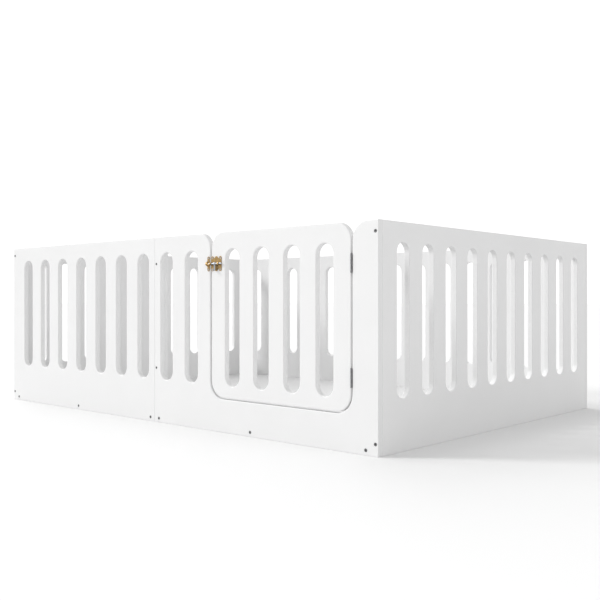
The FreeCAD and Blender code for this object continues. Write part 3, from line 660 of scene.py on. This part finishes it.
def wall(node, slot, count, first, way="front", corners=None, screws=(), **options):
    """A slotted board in place of its CAD node; first is its first slot from its left end."""
    low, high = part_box(node)
    across, up = ALONG[way]
    size = high - low
    slots = slot | {"Slot count": count, "First slot": first,
                    "Slot bottom": SLOT_BOTTOM - low.z, "Slot top": SLOT_TOP - low.z}
    mesh = cut(node, corners or rectangle(size[across], size.z), size[1 - across], wall_paint,
               slots, holes_for(screws, way, low, high), **options)
    if way == "front":
        mesh.transform(Matrix.Translation((low.x, high.y, low.z)) @ STAND_UP)
    else:
        mesh.transform(Matrix.Translation(low) @ STAND_SIDEWAYS)
    return hand_over(node + "_board", mesh, node)


def size_of(node):
    low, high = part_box(node)
    return high - low


half = size_of("front_left_panel").x
pitch = PANEL_SLOT["Slot pitch"]
front_screws = ["front_corner_screws", "front_floor_screws", "front_batten_screws"]
back_screws = ["back_corner_screws", "back_floor_screws", "back_batten_screws"]
wall("front_left_panel", PANEL_SLOT, 7, half - 6.5 * pitch, screws=front_screws)
wall("back_left_panel", PANEL_SLOT, 7, half - 6.5 * pitch, screws=back_screws)
wall("back_right_panel", PANEL_SLOT, 7, pitch / 2, screws=back_screws)
side = size_of("right_side_wall").y
for node in ("left_side_wall", "right_side_wall"):
    wall(node, SIDE_SLOT, 10, (side - 9 * SIDE_SLOT["Slot pitch"]) / 2, way="side")

door_low, door_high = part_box("door_panel")
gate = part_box("front_right_panel")[0].x
left, right = door_low.x - LATCH_GAP - gate, door_high.x + HINGE_GAP - gate
sill, top = door_low.z - SILL_GAP, size_of("front_right_panel").z
sill_radius = CORNER_RADIUS + SILL_GAP
wall("front_right_panel", PANEL_SLOT, 2, pitch / 2, screws=front_screws, corners=[
    (0, 0, 0), (half, 0, 0), (half, top, 0), (right, top, CORNER_RADIUS),
    (right, sill, sill_radius), (left, sill, sill_radius), (left, top, CORNER_RADIUS), (0, top, 0)])
door = door_high - door_low
wall("door_panel", DOOR_SLOT, 4, (door.x - 3 * DOOR_SLOT["Slot pitch"]) / 2, all_round=True,
     corners=rectangle(door.x, door.z, CORNER_RADIUS))
# the floor boards take the darker paint, whose tone is painted shade for the pen's inside floor
for node in ("left_floor_board", "right_floor_board"):
    low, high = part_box(node)
    mesh = cut(node, rectangle((high - low).x, (high - low).y), (high - low).z, floor_paint,
               edge=FLOOR_EDGE, all_round=True)
    mesh.transform(Matrix.Translation(low))
    hand_over(node + "_painted", mesh, node)
for node in ("front_joining_batten", "back_joining_batten"):
    frame["nodes"][node].data.materials.clear()
    frame["nodes"][node].data.materials.append(wall_paint)

# %% [markdown]
# ## Turned pieces
# Screws, dowels, hinge pins, knuckles, the bolt and the lever's collar are all turned on a lathe, so
# one function makes them. It takes rings of height and radius down the piece. A radius may also be a
# formula of the angle and the height, which gives a hexagon socket, a thread or a dowel's flutes.

# %% A lathe
def turned(name, rings, sides=32, hollow=False):
    """A closed mesh round Z. Solid: the first and last rings are points. Hollow: a closed loop."""
    work = bmesh.new()
    made = []
    for z, radius in rings:
        if radius == 0:
            made.append([work.verts.new((0, 0, z))])
            continue
        row = []
        for k in range(sides):
            angle = 2 * math.pi * k / sides
            r = radius(angle, z) if callable(radius) else radius
            row.append(work.verts.new((r * math.cos(angle), r * math.sin(angle), z)))
        made.append(row)
    pairs = list(zip(made, made[1:] + made[:1] if hollow else made[1:]))
    for one, two in pairs:
        for k in range(sides):
            n = (k + 1) % sides
            around = (one[k % len(one)], one[n % len(one)], two[n % len(two)], two[k % len(two)])
            work.faces.new(list(dict.fromkeys(around)))
    bmesh.ops.recalc_face_normals(work, faces=work.faces)
    mesh = bpy.data.meshes.new(name)
    work.to_mesh(mesh)
    work.free()
    mesh.shade_smooth()
    mesh.set_sharp_from_angle(angle=math.radians(35))
    return mesh


def socket(across, corners):
    """A socket of flat sides, such as a hexagon, that is this wide from its middle to a flat."""
    part = 2 * math.pi / corners
    return lambda angle, z: across / math.cos((angle + part / 2) % part - part / 2)


def cross(reach, waist):
    """A cross recess: four lobes out to the reach, and in to the waist between them."""
    return lambda angle, z: waist + (reach - waist) * abs(math.cos(2 * angle)) ** 3


def thread(core, crest, lead):
    """A screw thread: a ridge that climbs by one lead each turn."""
    return lambda angle, z: core + (crest - core) * abs((z / lead + angle / 2 / math.pi) % 1 * 2 - 1)


def flutes(radius, depth, count):
    return lambda angle, z: radius - depth * (0.5 + 0.5 * math.cos(count * angle))


def screw_rings(head, head_depth, shank, length, recess, recess_depth, lead):
    """Rings of a countersunk screw, from the bottom of its recess, over its head, to its point."""
    edge = 0.06 * head
    rings = [(-recess_depth, 0), (-recess_depth, recess), (-edge, recess), (0, 0.5 * head),
             (0, head - edge), (-edge, head), (-head_depth, 0.8 * shank)]
    depth = head_depth
    while depth < length - 2 * shank:
        rings.append((-depth - lead / 4, thread(0.72 * shank, shank, lead)))
        depth += lead / 4
    return rings + [(-length, 0)]


SCREWS = {
    # kind: head radius, head depth, shank radius, length, recess and its depth, lead, all in mm
    "board_screw": (4.5, 2.3, 3, 49.5, socket(1.5 * MM, 6), 1.6, 2.4),
    "batten_screw": (3.8, 2.3, 2.2, 30.5, socket(1.3 * MM, 6), 1.6, 2.0),
    "hinge_screw": (2.6, 1, 1.4, 15.8, cross(1.2 * MM, 0.5 * MM), 0.8, 1.2),
    "latch_screw": (2.5, 1.6, 1.3, 11.8, cross(1.2 * MM, 0.5 * MM), 0.8, 1.1),
}
screw_meshes = {}
for kind, (head, depth, shank, length, recess, recess_depth, lead) in SCREWS.items():
    rings = screw_rings(head * MM, depth * MM, shank * MM, length * MM, recess,
                        recess_depth * MM, lead * MM)
    screw_meshes[kind] = turned(kind, rings, sides=48)
    print(kind, len(screw_meshes[kind].polygons), "faces")

# %% [markdown]
# ### Setting the screws and dowels
# A tree sets one turned piece at every point that it is given, turned to face along the point's aim.
# Nobody lines up the sockets of screws, so each is also spun by a random angle from a fixed seed.

# %% The fixing tree
SET_BELOW = 0.15 * MM

fixing_tree, fixing_in = new_tree("set fixings", {"Fixing": "Object", "Seed": "Int",
                                                  "Finish": "Material"})
t = fixing_tree
aim = step(t, "GeometryNodeInputNamedAttribute", ("Name", "aim"),
           data_type="FLOAT_VECTOR").outputs["Attribute"]
facing = step(t, "FunctionNodeAlignRotationToVector", ("Vector", aim), axis="Z").outputs[0]
spin = step(t, "FunctionNodeRandomValue", ("Seed", fixing_in["Seed"]),
            data_type="FLOAT").outputs["Value"]
turn = sum_of(t, "MULTIPLY", spin, 2 * math.pi)
turn_vector = xyz(t, z=turn)
spun = step(t, "FunctionNodeRotateRotation", (0, facing), (1, turn_vector),
            rotation_space="LOCAL").outputs[0]
fixing = step(t, "GeometryNodeObjectInfo", ("Object", fixing_in["Fixing"])).outputs["Geometry"]
spots = step(t, "GeometryNodeMeshToPoints", ("Mesh", fixing_in["Geometry"]),
             mode="VERTICES").outputs[0]
set_out = step(t, "GeometryNodeInstanceOnPoints", ("Points", spots), ("Instance", fixing),
               ("Rotation", spun)).outputs[0]
close_tree(t, set_out, fixing_in["Finish"])
print("fixing tree:", len(t.nodes), "nodes")


def set_fixings(node, mesh, finish, seed, sunk=SET_BELOW):
    """One piece with a copy of the turned mesh at each fixing of a CAD node."""
    spots = bpy.data.meshes.new("spots")
    spots.from_pydata([head - aim * sunk for head, aim, _ in fixings[node]], [], [])
    aims = spots.attributes.new("aim", "FLOAT_VECTOR", "POINT")
    aims.data.foreach_set("vector", [c for _, aim, _ in fixings[node] for c in aim])
    pattern = bpy.data.objects.new("pattern", mesh)
    made = run_tree(node, spots, fixing_tree, {"Fixing": pattern, "Seed": seed, "Finish": finish})
    bpy.data.objects.remove(pattern)
    return hand_over(node + "_set", made, node)


# %% The screws and dowels of the boards
DOWEL_RADIUS = 4 * MM
DOWEL_BEVEL = 0.8 * MM


def dowel_rings(radius, length, bevel):
    """Rings of a fluted dowel that lies below its start."""
    fluted = flutes(radius, 0.06 * radius, 14)
    return [(0, 0), (0, radius - bevel), (-bevel, fluted), (bevel - length, fluted),
            (-length, radius - bevel), (-length, 0)]


def screw_kind(node):
    for word in ("hinge", "latch", "batten"):
        if word in node:
            return word + "_screw"
    return "board_screw"


seed = 0
for node in sorted(fixings):
    seed += 1
    if node.endswith("_dowels"):
        long_side = max(size_of_solid(points) for points in solids(node))
        rings = dowel_rings(DOWEL_RADIUS, long_side, DOWEL_BEVEL)
        set_fixings(node, turned(node, rings, sides=84), beech, seed, sunk=0)
        continue
    set_fixings(node, screw_meshes[screw_kind(node)], FINISHES[slot_of[node]], seed)

# %% [markdown]
# ## The hinges
# A butt hinge is two leaves cut from strip. Each leaf's knuckles are rolled from its own edge, so a
# leaf is notched where the other leaf's knuckles turn, and it stops short of the pin. The pin goes
# down through all five and is riveted over at both ends. The door's leaf and its knuckles ride on the
# door, and the rest stays on the panel.

# %% Leaves, knuckles and pins
KNUCKLES = 5
OWNED = {"frame": (0, 2, 4), "door": (1, 3)}
BARREL = 2 * MM
PIN = 1.1 * MM
LEAF = 1 * MM
CAP = 0.8 * MM
SWING = 0.4 * MM
ROLL_GAP = 0.1 * MM
EASED = 0.25 * MM
CLEAR_OF_PIN = 0.6 * MM
PIN_PLAY = 0.02 * MM
LEAF_CORNER = 1.5 * MM
LEAF_EDGE = 0.2 * MM


def join(name, meshes, finish):
    """One mesh of several closed shells, all in one finish."""
    work = bmesh.new()
    for mesh in meshes:
        work.from_mesh(mesh)
    for face in work.faces:
        face.material_index = 0
    joined = bpy.data.meshes.new(name)
    work.to_mesh(joined)
    work.free()
    joined.materials.append(finish)
    return joined


def moved(mesh, *steps):
    for matrix in steps:
        mesh.transform(matrix)
    return mesh


def tube(name, inner, outer, length, eased=EASED, sides=48):
    """A ring round Z with eased outer edges, starting at 0."""
    rings = [(0, inner), (0, outer - eased), (0.3 * eased, outer - 0.3 * eased), (eased, outer),
             (length - eased, outer), (length - 0.3 * eased, outer - 0.3 * eased),
             (length, outer - eased), (length, inner)]
    return turned(name, rings, sides, hollow=True)


def leaf_outline(width, knuckle, owned):
    """A comb: up the screwed edge, and down the barrel's edge with a notch for each other roll."""
    corners = [(width, 0, LEAF_CORNER), (width, KNUCKLES * knuckle, LEAF_CORNER)]
    for index in reversed(range(KNUCKLES)):
        edge = CLEAR_OF_PIN if index in owned else BARREL + SWING
        corners += [(edge, (index + 1) * knuckle - ROLL_GAP, 0), (edge, index * knuckle + ROLL_GAP, 0)]
    return corners


def hinge_leaf(hinge, leaf, pin, foot, knuckle):
    node = f"{hinge}_hinge_{leaf}_leaf"
    low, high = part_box(node)
    slab_x = high.x - LEAF if leaf == "frame" else low.x
    start = Vector((slab_x, pin.y, foot))
    end = Vector((slab_x + LEAF, high.y, foot + KNUCKLES * knuckle))
    holes = holes_for([f"hinge_{leaf}_screws"], "side", start, end)
    slab = cut(node, leaf_outline(high.y - pin.y, knuckle, OWNED[leaf]), LEAF, hinge_steel,
               holes=holes, edge=LEAF_EDGE, all_round=True)
    parts = [moved(slab, STAND_SIDEWAYS, Matrix.Translation(start))]
    for index in OWNED[leaf]:
        roll = tube("roll", PIN + PIN_PLAY, BARREL, knuckle - 2 * ROLL_GAP)
        at = Vector((pin.x, pin.y, foot + index * knuckle + ROLL_GAP))
        parts.append(moved(roll, Matrix.Translation(at)))
    hand_over(node + "_rolled", join(node, parts, hinge_steel), node)


for hinge in ("upper", "lower"):
    node = f"{hinge}_hinge_pin"
    low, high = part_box(node)
    middle = (low + high) / 2
    foot = low.z + CAP
    length = high.z - low.z - 2 * CAP
    cap = BARREL - 0.4 * MM
    rings = [(-CAP, 0), (-CAP, 0.6 * cap), (-0.7 * CAP, 0.9 * cap), (-0.3 * CAP, cap), (0, cap),
             (0, PIN), (length, PIN), (length, cap), (length + 0.3 * CAP, cap),
             (length + 0.7 * CAP, 0.9 * cap), (length + CAP, 0.6 * cap), (length + CAP, 0)]
    pin = turned(node, rings, sides=48)
    pin.materials.append(hinge_steel)
    hand_over(node + "_riveted", moved(pin, Matrix.Translation((middle.x, middle.y, foot))), node)
    for leaf in OWNED:
        hinge_leaf(hinge, leaf, middle, foot, length / KNUCKLES)

# %% [markdown]
# ## The slide bolt
# The plate on the door is stamped from brass strip: four ears for its screws, a larger lobe between
# them at the top and bottom, and two bridges that the bolt slides through. The keeper on the panel is
# narrower, with a point like an arrow's, and its one bridge takes the end of the bolt. A flat lever
# hangs from a collar on the bolt, and its foot is bent out so that a finger can push it.

# %% Brass plates and bridges
PLATE = 1.6 * MM
STAND_OFF = 5 * MM
GUIDE = 6 * MM
STAMPED = 0.35 * MM
EMBED = 0.15 * MM
TURN_TO_X = Matrix.Rotation(math.pi / 2, 4, "Y")
bolt_low, bolt_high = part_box("latch_bolt")
rod_axis = (bolt_low + bolt_high) / 2
face_y = door_low.y


def scalloped(discs, shoulder):
    """The top edge of a plate from right to left: round lobes that stand up from a straight edge."""
    points = []
    for x, y, radius in sorted(discs, reverse=True):
        sink = math.asin((shoulder - y) / radius)
        start, end = (Vector((x + way * radius * math.cos(sink), shoulder)) for way in (1, -1))
        centre, crown = Vector((x, y)), Vector((x, y + radius))
        points += arc(centre, start, crown) + arc(centre, crown, end)[1:]
    return points


def both_edges(top):
    """A closed outline from a top edge and its mirror image below."""
    return [(p.x, p.y, 0) for p in top] + [(p.x, -p.y, 0) for p in reversed(top)]


def stamp(node, corners, left, screws):
    """A brass plate on the face of the boards, with countersinks for its screws."""
    holes = [(head.x - left, head.z - rod_axis.z, radius + HEAD_PLAY)
             for head, _, radius in fixings[screws]]
    plate = cut(node, corners, PLATE, brass, holes=holes, edge=STAMPED, all_round=True)
    return moved(plate, STAND_UP, Matrix.Translation((left, face_y, rod_axis.z)))


def bridge(left, length, bore, outer):
    """A half-round bridge over the bolt, on two flat feet."""
    foot = STAND_OFF + EMBED
    corners = [(foot, -outer, 0), (foot, outer, 0), (-outer, outer, outer), (-outer, -outer, outer)]
    arch = cut("bridge", corners, length, brass, holes=[(0, 0, bore)], edge=STAMPED,
               all_round=True)
    return moved(arch, STAND_SIDEWAYS, Matrix.Translation((left, rod_axis.y, rod_axis.z)))


EARS_OUT = 17.5 * MM
EAR_LEVEL = 17 * MM
EAR_RADIUS = 5.5 * MM
LOBE_LEVEL = 15 * MM
LOBE_RADIUS = 7.5 * MM
FIRST_GUIDE = 1.2 * MM
LAST_GUIDE = 5.2 * MM
GUIDE_BORE = 2.58 * MM
GUIDE_RADIUS = 4.5 * MM
plate_low, plate_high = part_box("latch_plate")
wide = plate_high.x - plate_low.x
ears = [(wide / 2 + way * EARS_OUT, EAR_LEVEL, EAR_RADIUS) for way in (1, -1)]
lobe = (wide / 2, LOBE_LEVEL, LOBE_RADIUS)
plate_parts = [stamp("latch_plate", both_edges(scalloped(ears + [lobe], EAR_LEVEL)), plate_low.x,
                     "latch_plate_screws")]
for left in (plate_low.x + FIRST_GUIDE, plate_high.x - LAST_GUIDE - GUIDE):
    plate_parts.append(bridge(left, GUIDE, GUIDE_BORE, GUIDE_RADIUS))
hand_over("latch_plate_stamped", join("latch_plate", plate_parts, brass), "latch_plate")

keeper_low, keeper_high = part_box("latch_keeper")
EAR = 5 * MM
POINT = 11 * MM
POINT_HALF = 9 * MM
NECK = 0.8 * MM
TIP = 1.2 * MM
EYE_INSET = 1 * MM
EYE_BORE = 4 * MM
EYE_RADIUS = 6 * MM
tall = (keeper_high.z - keeper_low.z) / 2
keeper_corners = [(2 * EAR, -tall, EAR), (2 * EAR, tall, EAR), (0, tall, EAR),
                  (0, POINT_HALF, NECK), (-POINT, 0, TIP), (0, -POINT_HALF, NECK), (0, -tall, EAR)]
keeper_parts = [stamp("latch_keeper", keeper_corners, keeper_high.x - 2 * EAR,
                      "latch_keeper_screws"),
                bridge(keeper_high.x - EYE_INSET - GUIDE, GUIDE, EYE_BORE, EYE_RADIUS)]
hand_over("latch_keeper_stamped", join("latch_keeper", keeper_parts, brass), "latch_keeper")

# %% [markdown]
# ### The bolt and its lever
# The bolt is turned from round bar, with two shoulders that keep the lever's collar in its place. The
# lever is a strip bent to an L and brazed to the collar.

# %% The bolt and its lever
ROD = 2.5 * MM
SHOULDER = 3.3 * MM
COLLAR = 4 * MM
COLLAR_LONG = 6.4 * MM
COLLAR_PLAY = 0.06 * MM
COLLAR_EDGE = 0.5 * MM
SHOULDER_OUT = 3.35 * MM
SHOULDER_LONG = 1 * MM
lever_at = joint_of["lever_turn"]["pos_m"]
lever_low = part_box("latch_lever")[0]


def along_rod(name, rings, finish):
    """A piece turned along the bolt's axis; its heights are measured from the lever's middle."""
    mesh = turned(name, rings, sides=64)
    mesh.materials.append(finish)
    return moved(mesh, TURN_TO_X, Matrix.Translation((lever_at[0], rod_axis.y, rod_axis.z)))


def shoulder(start):
    """Rings of one raised shoulder with rounded edges."""
    rise = [(0, ROD), (0, 0.92), (0.12, 1), (0.88, 1), (1, 0.92), (1, ROD)]
    return [(start + z * SHOULDER_LONG, r if r == ROD else r * SHOULDER) for z, r in rise]


left_end, right_end = bolt_low.x - lever_at[0], bolt_high.x - lever_at[0]
CHAMFER = 0.8 * MM
rings = [(left_end, 0), (left_end, ROD - CHAMFER), (left_end + 0.3 * CHAMFER, ROD - 0.6 * CHAMFER),
         (left_end + CHAMFER, ROD)]
rings += shoulder(-SHOULDER_OUT - SHOULDER_LONG) + shoulder(SHOULDER_OUT)
rings += [(right_end - CHAMFER, ROD), (right_end - 0.3 * CHAMFER, ROD - 0.6 * CHAMFER),
          (right_end, ROD - CHAMFER), (right_end, 0)]
hand_over("latch_bolt_turned", along_rod("latch_bolt", rings, bolt_steel), "latch_bolt")

STRIP = 2.4 * MM
STRIP_WIDE = 6 * MM
STRIP_EDGE = 0.4 * MM
INTO_COLLAR = 3 * MM
INSIDE_BEND = 1 * MM
OUTSIDE_BEND = 3.4 * MM
FOOT_CORNER = 0.8 * MM
drop = lever_low.z - rod_axis.z
foot_end = lever_low.y - rod_axis.y
bent = [(STRIP / 2, -INTO_COLLAR, 0), (-STRIP / 2, -INTO_COLLAR, 0),
        (-STRIP / 2, drop + STRIP, INSIDE_BEND), (foot_end, drop + STRIP, FOOT_CORNER),
        (foot_end, drop, FOOT_CORNER), (STRIP / 2, drop, OUTSIDE_BEND)]
arm = cut("arm", bent, STRIP_WIDE, bolt_steel, edge=STRIP_EDGE, all_round=True)
moved(arm, STAND_SIDEWAYS,
      Matrix.Translation((lever_at[0] - STRIP_WIDE / 2, rod_axis.y, rod_axis.z)))
collar = tube("collar", ROD + COLLAR_PLAY, COLLAR, COLLAR_LONG, eased=COLLAR_EDGE, sides=64)
moved(collar, TURN_TO_X, Matrix.Translation((lever_at[0] - COLLAR_LONG / 2, rod_axis.y, rod_axis.z)))
hand_over("latch_lever_bent", join("latch_lever", [collar, arm], bolt_steel), "latch_lever")
